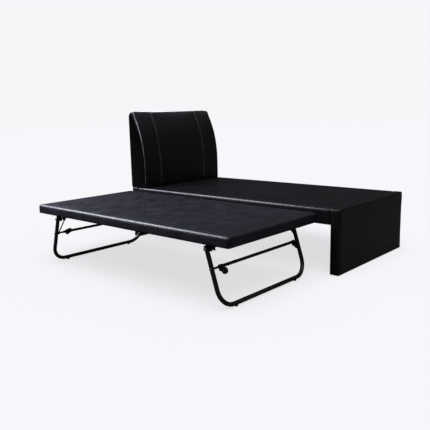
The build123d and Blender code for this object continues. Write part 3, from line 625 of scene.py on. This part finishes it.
def pick(piece, kind, rule):
    """In edit mode, selects the edges, faces or verts that the rule says yes to."""
    bpy.ops.mesh.select_mode(type={"edges": "EDGE", "faces": "FACE", "verts": "VERT"}[kind])
    bpy.ops.mesh.select_all(action="DESELECT")
    mesh = bmesh.from_edit_mesh(piece.data)
    for element in getattr(mesh, kind):
        if rule(element):
            element.select_set(True)
    bmesh.update_edit_mesh(piece.data)


def runs_along(edge, axis):
    """Whether an edge lies along X (0), Y (1) or Z (2)."""
    line = edge.verts[1].co - edge.verts[0].co
    return line.length > 0 and abs(line[axis]) > 0.999 * line.length


def cut_even(piece, cell):
    """Cuts every long straight edge, and all the faces that it crosses, into even cells."""
    longest_left = 1.6 * cell
    for axis in (0, 1, 2):
        pick(piece, "edges", lambda edge: runs_along(edge, axis) and edge.calc_length() > longest_left)
        chosen = [edge for edge in bmesh.from_edit_mesh(piece.data).edges if edge.select]
        if chosen:
            cuts = ceil(max(edge.calc_length() for edge in chosen) / cell) - 1
            bpy.ops.mesh.subdivide(number_cuts=cuts)


def apply_modifier(piece, kind, **settings):
    """Adds a modifier, sets it and applies it."""
    choose(piece)
    modifier = piece.modifiers.new(kind.lower(), kind)
    for label, value in settings.items():
        setattr(modifier, label, value)
    bpy.ops.object.modifier_apply(modifier=modifier.name)


def cover(name, low, high, roll, cell, steps=4, corner=None):
    """A rounded block, open below: roll is the top edges' radius, corner the upright edges'.
    Without a corner only the two long top edges are rolled, and the ends stay sharp."""
    piece = block(name, low, high)
    bpy.ops.object.mode_set(mode="EDIT")
    pick(piece, "faces", lambda face: face.normal.z < -0.9)
    bpy.ops.mesh.delete(type="ONLY_FACE")
    let_go()
    tiny = 0.01 * MM
    share = piece.data.attributes.new("bevel_weight_edge", "FLOAT", "EDGE")
    for edge in piece.data.edges:
        start, end = (piece.data.vertices[index].co for index in edge.vertices)
        on_top = min(start.z, end.z) > high.z - tiny
        upright = abs(end.z - start.z) > tiny
        if corner is None:
            weight = float(on_top and abs(end.x - start.x) > tiny)
        else:
            weight = corner / roll if upright else float(on_top)
        share.data[edge.index].value = weight
    apply_modifier(piece, "BEVEL", width=roll, segments=steps, limit_method="WEIGHT")
    choose(piece)
    bpy.ops.object.mode_set(mode="EDIT")
    cut_even(piece, cell)
    let_go()
    return piece


def finish_with(piece, *finish_names):
    """Smooth shading and the piece's materials."""
    choose(piece)
    bpy.ops.object.shade_smooth()
    piece.data.materials.clear()
    for finish_name in finish_names:
        piece.data.materials.append(finishes[finish_name])


def puff(piece, held, pressure, most, frames=20):
    """Blows a cover up from inside with the cloth simulation; held says which points are tacked
    down, and no point ends further than most from where it was cut."""
    choose(piece)
    cut_places = [vertex.co.copy() for vertex in piece.data.vertices]
    tacks = piece.vertex_groups.new(name="tacks")
    tacked = [vertex.index for vertex in piece.data.vertices if held(vertex.co)]
    tacks.add(tacked, 1.0, "REPLACE")
    modifier = piece.modifiers.new("cloth", "CLOTH")
    cloth = modifier.settings
    cloth.quality = 4
    cloth.use_pressure = True
    cloth.uniform_pressure_force = pressure
    cloth.effector_weights.gravity = 0.0
    cloth.vertex_group_mass = tacks.name
    modifier.point_cache.frame_start = 1
    modifier.point_cache.frame_end = frames
    for number in range(1, frames + 1):
        bpy.context.scene.frame_set(number)
    bpy.ops.object.modifier_apply(modifier=modifier.name)
    bpy.context.scene.frame_set(1)
    longest = 0.0
    for vertex, start in zip(piece.data.vertices, cut_places):
        move = vertex.co - start
        longest = max(longest, move.length)
        if move.length > 0:
            vertex.co = start + move.normalized() * most * tanh(move.length / most)
    piece.vertex_groups.clear()
    free, kept = round(longest / MM, 1), round(most / MM, 1)
    print(piece.name, "puffed, longest free move", free, "mm, kept under", kept)


def line_with_skin(piece):
    """Gives a cover the thickness of padded vinyl, inwards."""
    apply_modifier(piece, "SOLIDIFY", thickness=3 * MM, offset=-1.0)


def clamped(value):
    """The value, kept between 0 and 1."""
    return max(0.0, min(1.0, value))


def from_points(name, verts, faces):
    """A mesh piece made from its corner places and its faces."""
    mesh = bpy.data.meshes.new(name)
    mesh.from_pydata([tuple(place) for place in verts], [], faces)
    return into_scene(name, mesh)


# %% [markdown]
# ## The bench's top cover
#
# Foam under taut vinyl over a board is nearly flat, with a rolled front and rear edge. It is
# tacked all round, so the cloth simulation lifts only the middle, by a few millimetres. The
# ends tuck down beside the end panels. A smooth noise adds the long, low waves of stretching:
# an absolutely flat top would look like plastic.

# %% Bench top
def breathe(piece, height, wave, share_at, top, seed):
    """Moves the top's points by a smooth noise up to height, over waves of that length."""
    for vertex in piece.data.vertices:
        share = share_at(vertex.co)
        if share > 0 and vertex.co.z > top - 2 * MM:
            value = noise.noise(vertex.co / wave + Vector((seed, seed * 0.7, 0)))
            vertex.co.z += height * share * value


def inside_of(low, high, margin):
    """A share from 0 at the rim of a rectangle to 1 from margin inwards."""
    def share(place):
        reach = min(place.x - low.x, high.x - place.x, place.y - low.y, high.y - place.y)
        return clamped(reach / margin)
    return share


bench_low, bench_high = (Vector(corner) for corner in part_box("bench_pad"))
head_low, head_high = (Vector(corner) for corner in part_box("headboard_cushion"))
cover_cell = 14 * MM
bench_roll = 15 * MM
end_tuck, tuck_width, tuck_height = 2 * MM, 12 * MM, 30 * MM
bench_top = cover("bench_top_cover", bench_low, bench_high, bench_roll, cover_cell)
top_share = inside_of(bench_low, bench_high, 90 * MM)
puff(
    bench_top,
    lambda place: place.z < bench_high.z - 0.1 * MM
    or top_share(place) < 0.12
    or place.x < head_high.x + 15 * MM,
    4.0, 2.5 * MM,
)
for vertex in bench_top.data.vertices:
    from_end = min(vertex.co.x - bench_low.x, bench_high.x - vertex.co.x)
    if from_end < tuck_width and vertex.co.z > bench_high.z - tuck_height:
        vertex.co.z -= end_tuck * (1 - from_end / tuck_width) ** 2
breathe(bench_top, 0.9 * MM, 160 * MM, top_share, bench_high.z, 3)
line_with_skin(bench_top)
finish_with(bench_top, "leather_look")
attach(bench_top, "bench")
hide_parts("bench_pad")
print("bench top:", len(bench_top.data.polygons), "faces")

# %% [markdown]
# ## The end panels' covers
#
# Each end panel is a chipboard slab in a tight vinyl sleeve over thin foam: the same rounded
# block, standing upright. It is tacked under the foot, and its big faces swell by a millimetre
# or two between the corners.

# %% End panels
panel_roll = 8 * MM
for end in ("head", "foot"):
    node = f"{end}_panel_cover"
    panel_low, panel_high = (Vector(corner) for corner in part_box(node))
    name = f"{end}_panel_upholstery"
    panel = cover(name, panel_low, panel_high, panel_roll, cover_cell, corner=panel_roll)
    inner_x = panel_high.x if end == "head" else panel_low.x
    puff(
        panel,
        lambda place: place.z < panel_low.z + 20 * MM
        or abs(place.x - inner_x) < 10 * MM
        or place.z > panel_high.z - 1 * MM,
        3.0, 1.6 * MM,
    )
    line_with_skin(panel)
    finish_with(panel, "leather_look")
    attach(panel, "bench")
    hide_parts(node)
print("end panels covered")

# %% [markdown]
# ## The headboard
#
# Its side view matters most: flat back, small roll over the top, and a front that swells to a
# full belly. A circle is moved onto that outline and extruded across the bed in steps, close
# together at the two sewn seams, so that each seam is a real groove in the mesh.

# %% Headboard outline
def headboard_outline(low, high):
    """Points of the side view, in x and z: up the back, over the top, down the front."""
    top, depth = high.z, high.x - low.x
    back_roll, top_flat, roll_radius, roll_turn = 7 * MM, 27 * MM, 21 * MM, radians(62)
    foot_roll, belly_drop = 8 * MM, 464 * MM
    back_steps, small_steps, roll_steps, belly_steps, straight_steps = 44, 4, 7, 38, 12
    back_foot = low.z + foot_roll
    back_height = top - back_roll - low.z - foot_roll
    points = [(low.x, back_foot + back_height * step / back_steps) for step in range(back_steps + 1)]
    for step in range(1, small_steps + 1):
        turn = pi / 2 * step / small_steps
        points.append((low.x + back_roll * (1 - cos(turn)), top - back_roll * (1 - sin(turn))))
    points.append((low.x + top_flat * 0.62, top))
    for step in range(roll_steps + 1):
        turn = roll_turn * step / roll_steps
        x = low.x + top_flat + roll_radius * sin(turn)
        points.append((x, top - roll_radius * (1 - cos(turn))))
    start = Vector((top_flat + roll_radius * sin(roll_turn), -roll_radius * (1 - cos(roll_turn))))
    inward = Vector((-sin(roll_turn), -cos(roll_turn)))
    chord = Vector((depth, -belly_drop)) - start
    belly_radius = chord.length_squared / (2 * chord.dot(inward))
    centre = start + inward * belly_radius
    first_turn = atan2(start.y - centre.y, start.x - centre.x)
    for step in range(1, belly_steps + 1):
        turn = first_turn * (1 - step / belly_steps)
        x = low.x + centre.x + belly_radius * cos(turn)
        points.append((x, top + centre.y + belly_radius * sin(turn)))
    straight = top - belly_drop - (low.z + foot_roll)
    for step in range(1, straight_steps + 1):
        points.append((high.x, top - belly_drop - straight * step / straight_steps))
    for step in range(1, small_steps + 1):
        turn = pi / 2 * step / small_steps
        x = high.x - foot_roll * (1 - cos(turn))
        points.append((x, low.z + foot_roll * (1 - sin(turn))))
    points.append((low.x + foot_roll, low.z))
    return points


outline = headboard_outline(head_low, head_high)
print("outline of", len(outline), "points")

corner_radius = 36 * MM
rim_radius = 14 * MM
corner_reach = 220 * MM


def quarter_drop(gap, radius):
    """How far a rounded corner of that radius has fallen away, this far from its side."""
    return radius - sqrt(radius ** 2 - (radius - gap) ** 2) if gap < radius else 0.0


def round_rims(place):
    """Rounds the headboard's two top corners, seen from the front, and its upright front edges."""
    gap = max(0.0, min(place.y - head_low.y, head_high.y - place.y))
    near_top = clamped((place.z - head_high.z + corner_reach) / corner_reach)
    on_front = clamped((place.x - head_low.x - 10 * MM) / (20 * MM))
    fallen = quarter_drop(gap, corner_radius) * near_top ** 2 * (3 - 2 * near_top)
    return Vector((place.x - quarter_drop(gap, rim_radius) * on_front, place.y, place.z - fallen))


# %% Headboard body
seam_inset = 195 * MM
seam_places = [head_low.y + seam_inset, head_high.y - seam_inset]
groove_steps = [-14, -9, -6, -4, -2.5, -1.2, 0, 1.2, 2.5, 4, 6, 9, 14]
rim_steps = [1, 2.5, 5, 8, 12, 18, 25, 34]
stations = {head_low.y, head_high.y}
for step in rim_steps:
    stations |= {head_low.y + step * MM, head_high.y - step * MM}
for place in seam_places:
    stations |= {place + step * MM for step in groove_steps}
even_steps, least_gap = 66, 7 * MM
for number in range(1, even_steps):
    candidate = head_low.y + (head_high.y - head_low.y) * number / even_steps
    if min(abs(candidate - other) for other in stations) > least_gap:
        stations.add(candidate)
stations = sorted(stations)

side_places = [(x, stations[0], z) for x, z in outline]
headboard = ring("headboard_upholstery", side_places, fill_type="NGON")
bpy.ops.mesh.select_mode(type="FACE")
bpy.ops.mesh.select_all(action="SELECT")
for near, far in zip(stations, stations[1:]):
    bpy.ops.mesh.extrude_region_move(TRANSFORM_OT_translate={"value": (0, far - near, 0)})
bpy.ops.mesh.select_all(action="SELECT")
bpy.ops.mesh.normals_make_consistent(inside=False)
for side_y in (stations[0], stations[-1]):
    pick(
        headboard, "faces",
        lambda face: abs(face.normal.y) > 0.99
        and abs(face.calc_center_median().y - side_y) < 0.1 * MM,
    )
    for thickness in (2.0, 3.0):
        bpy.ops.mesh.inset(thickness=thickness * MM, depth=0.5 * MM)
let_go()
for vertex in headboard.data.vertices:
    vertex.co = round_rims(vertex.co)
print("headboard:", len(headboard.data.polygons), "faces across", len(stations), "stations")

# %% [markdown]
# The body is blown up a little, held at its foot, back, side rims and seams, so each of the
# three fields swells. The seams are then pulled in as grooves, along the surface's normals.

# %% Headboard swelling and seams
def seam_share(y, half_width):
    """1 on a seam, 0 from half_width away."""
    gap = min(abs(y - place) for place in seam_places)
    return max(0.0, 1 - gap / half_width)


puff(
    headboard,
    lambda place: place.x < head_low.x + 3 * MM
    or place.z < head_low.z + 12 * MM
    or place.y < head_low.y + 3 * MM
    or place.y > head_high.y - 3 * MM
    or seam_share(place.y, 1 * MM) > 0,
    4.0, 9 * MM,
)
seam_pull, seam_width = 3.2 * MM, 12 * MM
pulled = []
for vertex in headboard.data.vertices:
    on_front = clamped((vertex.co.x - head_low.x - 4 * MM) / (12 * MM))
    pull = seam_pull * on_front * seam_share(vertex.co.y, seam_width) ** 2
    pulled.append((vertex, vertex.normal.copy(), pull))
for vertex, outward, pull in pulled:
    vertex.co -= outward * pull
    vertex.co.z = max(vertex.co.z, head_low.z)
finish_with(headboard, "leather_look")
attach(headboard, "bench")
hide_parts("headboard_cushion")
keep_off(long_box, headboard)
keep_off(side_strip, headboard)
lit_by_back_box.objects.link(headboard)
print("headboard seams at", [round(place, 3) for place in seam_places])

# %% [markdown]
# ## Welts
#
# A welt is a thin cord wrapped in the cover's own vinyl and sewn in near the edge. A curve with
# a round bevel is the quickest way to make one: it follows the outline, and Convert turns it
# into a mesh. It stands half out of the seam and catches the light.

# %% Welts round the headboard's sides
def tube_along(name, points, radius):
    """A round tube through the points, as a mesh."""
    line = bpy.data.curves.new(name, "CURVE")
    line.dimensions = "3D"
    line.bevel_depth = radius
    line.bevel_resolution = 3
    line.use_fill_caps = True
    spline = line.splines.new("POLY")
    spline.points.add(len(points) - 1)
    for point, place in zip(spline.points, points):
        point.co = (*place, 1)
    choose(into_scene(name, line))
    bpy.ops.object.convert(target="MESH")
    tube = bpy.context.object
    tube.data.name = name
    return tube


def surface_line(piece, path, y, lift):
    """The path laid on the piece's surface at that y: places, directions and outward sides."""
    found = []
    stand_off, ray_length = 50 * MM, 90 * MM
    for (x, z), (next_x, next_z) in zip(path, path[1:]):
        along = Vector((next_x - x, 0, next_z - z)).normalized()
        outward = Vector((-along.z, 0, along.x))
        start = Vector((x, y, z)) + outward * stand_off
        hit, place, _, _ = piece.ray_cast(start, -outward, distance=ray_length)
        if hit:
            found.append((place + outward * lift, along, outward))
    return found


welt_radius = 3.8 * MM
welt_inset = 17 * MM
welt_lift = 1.0 * MM
welt_path = outline[46:-4]  # from the back's roll down to the foot of the front
for side, welt_y in (("front", head_low.y + welt_inset), ("rear", head_high.y - welt_inset)):
    laid = surface_line(headboard, welt_path, welt_y, welt_lift)
    welt = tube_along(f"headboard_{side}_welt", [place for place, _, _ in laid], welt_radius)
    finish_with(welt, "leather_look")
    lit_by_welt_strip.objects.link(welt)
    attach(welt, "bench")
print("welts of radius", round(welt_radius / MM, 1), "mm")

# %% [markdown]
# ## Stitches
#
# Top-stitching is a row of short thread loops that dip into the vinyl at both ends. One stitch
# is a small bead, stretched and bent, then copied along the seam. Each copy is turned to lie on
# the surface, and the row is one piece.

# %% One stitch, and rows of it
def one_stitch(length, thickness):
    """A bead that lies along x, its ends bent down into the cover."""
    let_go()
    dip = thickness * 0.66
    bpy.ops.mesh.primitive_uv_sphere_add(segments=6, ring_count=5, radius=0.5)
    bead = bpy.context.object
    bead.name = "stitch"
    for vertex in bead.data.vertices:
        x, y, z = vertex.co.z, vertex.co.y, vertex.co.x
        full = (1 - (2 * x) ** 4) ** 0.5 if abs(x) < 0.5 else 0.0
        width = thickness * (0.6 + 0.4 * full)
        vertex.co = (x * length, y * width, z * thickness - dip * (2 * x) ** 2)
    return bead


def stitch_row(name, line, pitch, length, thickness):
    """Stitches along a line of (place, along, outward) triples, joined into one mesh."""
    model = one_stitch(length, thickness)
    model_points = [vertex.co.copy() for vertex in model.data.vertices]
    model_faces = [list(face.vertices) for face in model.data.polygons]
    bpy.data.objects.remove(model)
    verts, faces, travelled, due = [], [], 0.0, pitch / 2
    for (place, along, outward), (following, _, _) in zip(line, line[1:]):
        gap = (following - place).length
        while due <= travelled + gap:
            centre = place.lerp(following, (due - travelled) / gap)
            across = outward.cross(along).normalized()
            turn = Matrix((along, across, outward)).transposed()
            first = len(verts)
            verts += [centre + turn @ point for point in model_points]
            faces += [[first + index for index in face] for face in model_faces]
            due += pitch
        travelled += gap
    return from_points(name, verts, faces), round((due - pitch / 2) / pitch)


row_offset, stitch_lift = 4.6 * MM, 0.3 * MM
pitch, stitch_length, thread_thickness = 6.2 * MM, 5.3 * MM, 1.7 * MM
stitch_path = outline[50:-6]  # from the top roll down to just above the foot of the front
for side, seam_y in zip(("front", "rear"), seam_places):
    for row_name, offset in (("near", -row_offset), ("far", row_offset)):
        path = surface_line(headboard, stitch_path, seam_y + offset, stitch_lift)
        name = f"headboard_{side}_seam_{row_name}_stitches"
        row, count = stitch_row(name, path, pitch, stitch_length, thread_thickness)
        finish_with(row, "seam_thread")
        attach(row, "bench")
        print(row.name, count, "stitches")

# %% [markdown]
# ## The cot's deck cover
#
# The pull-out deck is the same build as the bench top, but thinner and free at all four sides.
# All its top and upright edges are rolled. Its vinyl is cloudier, and lighter and bluer in colour:
# painted sheen of its top, laid into the whole cover.

# %% Cot deck
deck_low, deck_high = (Vector(corner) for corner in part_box("cot_pad"))
deck_roll, deck_corner = 17 * MM, 10 * MM
deck = cover("cot_deck_cover", deck_low, deck_high, deck_roll, cover_cell, steps=6, corner=deck_corner)
deck_share = inside_of(deck_low, deck_high, 80 * MM)
puff(
    deck,
    lambda place: place.z < deck_high.z - 0.1 * MM or deck_share(place) < 0.13,
    4.0, 2.0 * MM,
)
breathe(deck, 1.0 * MM, 130 * MM, deck_share, deck_high.z, 11)
line_with_skin(deck)
finish_with(deck, "cot_leather_look")
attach(deck, "cot_deck")
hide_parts("cot_pad")
print("deck cover:", len(deck.data.polygons), "faces")

# %% [markdown]
# ## Linings and their staples
#
# A thin black non-woven sheet closes each underside, held by a row of staples. It is a grid
# that lifts a little between the staples, where the sheet is drawn up into the hollow frame.
# One staple is a bent wire: a crown and two shoulders that go into the wood.

# %% Linings
def staple_at(verts, faces, place, along, crown, wire):
    """Adds one staple's crown, a flattened wire with sloping shoulders, below place."""
    across = Vector((0, 0, 1)).cross(along)
    rings = [(-0.5, 0.35), (-0.42, -0.55), (0.42, -0.55), (0.5, 0.35)]
    first = len(verts)
    for reach, drop in rings:
        centre = place + along * crown * reach + Vector((0, 0, wire * drop))
        for wide, tall in ((-0.5, -0.5), (0.5, -0.5), (0.5, 0.5), (-0.5, 0.5)):
            verts.append(centre + across * wire * wide + Vector((0, 0, wire * tall * 0.7)))
    for ring in range(len(rings) - 1):
        for corner in range(4):
            a, b = first + ring * 4 + corner, first + ring * 4 + (corner + 1) % 4
            faces.append((a, b, b + 4, a + 4))
    faces.append((first + 3, first + 2, first + 1, first))
    last = first + 4 * (len(rings) - 1)
    faces.append((last, last + 1, last + 2, last + 3))


spacing, inset = 70 * MM, 9 * MM
crown, wire = 10 * MM, 1.1 * MM
for bed, node, body in (("bench", "bench_lining", "bench"), ("cot", "cot_lining", "cot_deck")):
    lining_low, lining_high = (Vector(corner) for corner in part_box(node))
    size = lining_high - lining_low
    middle = (lining_low + lining_high) / 2
    let_go()
    bpy.ops.mesh.primitive_grid_add(
        x_subdivisions=120, y_subdivisions=60, size=1,
        location=(middle.x, middle.y, lining_low.z + 0.3 * MM),
    )
    lining = bpy.context.object
    bpy.ops.transform.resize(value=(size.x - 1 * MM, size.y - 1 * MM, 1))
    lining.name = lining.data.name = f"{bed}_underside_lining"
    bpy.ops.object.transform_apply(location=True, rotation=True, scale=True)
    rim_share = inside_of(lining_low, lining_high, 60 * MM)
    for vertex in lining.data.vertices:
        hollow = rim_share(vertex.co)
        pucker = 0.5 + 0.5 * cos(tau * (vertex.co.x + vertex.co.y) / spacing)
        wave = 0.6 + 0.4 * noise.noise(vertex.co / 0.11)
        vertex.co.z += 1.1 * MM * hollow * wave + 0.4 * MM * pucker * (1 - hollow)
    apply_modifier(lining, "SOLIDIFY", thickness=0.25 * MM, offset=1.0)
    finish_with(lining, "lining")
    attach(lining, body)
    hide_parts(node)

    verts, faces = [], []
    for axis, other in ((0, 1), (1, 0)):
        reach = size[axis] - 2 * inset
        count = round(reach / spacing)
        for line_place in (lining_low[other] + inset, lining_high[other] - inset):
            for number in range(count):
                place = Vector((0, 0, lining_low.z - 0.1 * MM))
                place[axis] = lining_low[axis] + inset + reach * (number + 0.5) / count
                place[other] = line_place
                along = Vector((0, 0, 0))
                along[axis] = 1
                staple_at(verts, faces, place, along, crown, wire)
    staples = from_points(f"{bed}_staples", verts, faces)
    finish_with(staples, "zinc_steel")
    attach(staples, body)
    print(lining.name, "held by", len(faces) // 14, "staples")

# %% [markdown]
# ## Wheels
#
# The casters' wheels are lathe work: a section with a rounded tread, a recessed web and a hub,
# turned round the axle with Spin. Five pockets in the web show the wheel turning as it rolls.

# %% Wheels
# Half of the section, in mm: distance from the axle, distance from the wheel's middle.
hub_and_web = [(3.1, 7.5), (5.6, 7.5), (6.2, 6.9), (6.4, 5.2), (7.2, 4.6), (11.6, 4.6)]
rim = [(12.4, 5.2), (12.8, 6.6), (13.6, 7.2), (15.6, 7.5), (17.4, 7.1), (18.4, 6.2), (18.9, 4.8)]
tread_groove = [(19.0, 3.0), (18.6, 2.6), (18.6, 2.0), (19.0, 1.6)]
wheel_section = hub_and_web + rim + tread_groove
wheel_steps = 50
pockets, pocket_start, pocket_end, pocket_depth = 5, 7.3 * MM, 11.5 * MM, 1.6 * MM
nylon_radius = 13 * MM
for end in ("head", "foot"):
    for side in ("front", "rear"):
        node = f"{end}_{side}_wheel"
        wheel_low, wheel_high = (Vector(corner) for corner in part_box(node))
        centre = (wheel_low + wheel_high) / 2
        section = wheel_section + [(radius, -along) for radius, along in reversed(wheel_section)]
        places = [(centre.x + out * MM, centre.y + along * MM, centre.z) for out, along in section]
        wheel = ring(f"{end}_{side}_caster_wheel", places)
        bpy.ops.mesh.spin(steps=wheel_steps, angle=tau, center=centre, axis=(0, 1, 0))
        bpy.ops.mesh.select_all(action="SELECT")
        bpy.ops.mesh.remove_doubles(threshold=0.02 * MM)
        bpy.ops.mesh.normals_make_consistent(inside=False)

        def in_pocket(face):
            middle = face.calc_center_median() - centre
            turn = (atan2(middle.z, middle.x) / tau * pockets) % 1
            radius = sqrt(middle.x ** 2 + middle.z ** 2)
            on_web = abs(face.normal.y) > 0.95 and pocket_start < radius < pocket_end
            return on_web and 0.2 < turn < 0.8

        pick(wheel, "faces", in_pocket)
        bpy.ops.mesh.inset(thickness=0.5 * MM, depth=-pocket_depth)
        let_go()
        finish_with(wheel, "wheel_rubber", "nylon")
        for face in wheel.data.polygons:
            middle = face.center - centre
            if sqrt(middle.x ** 2 + middle.z ** 2) < nylon_radius:
                face.material_index = 1
        bpy.ops.object.shade_smooth_by_angle(angle=radians(35))
        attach(wheel, f"{end}_{side}_roller")
        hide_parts(node)
print("wheels:", len(wheel.data.polygons), "faces each")

# %% [markdown]
# ## The end

# The finished model must stay in the measured box, apart from what soft covers may stand proud.

# %% Finish
let_go()
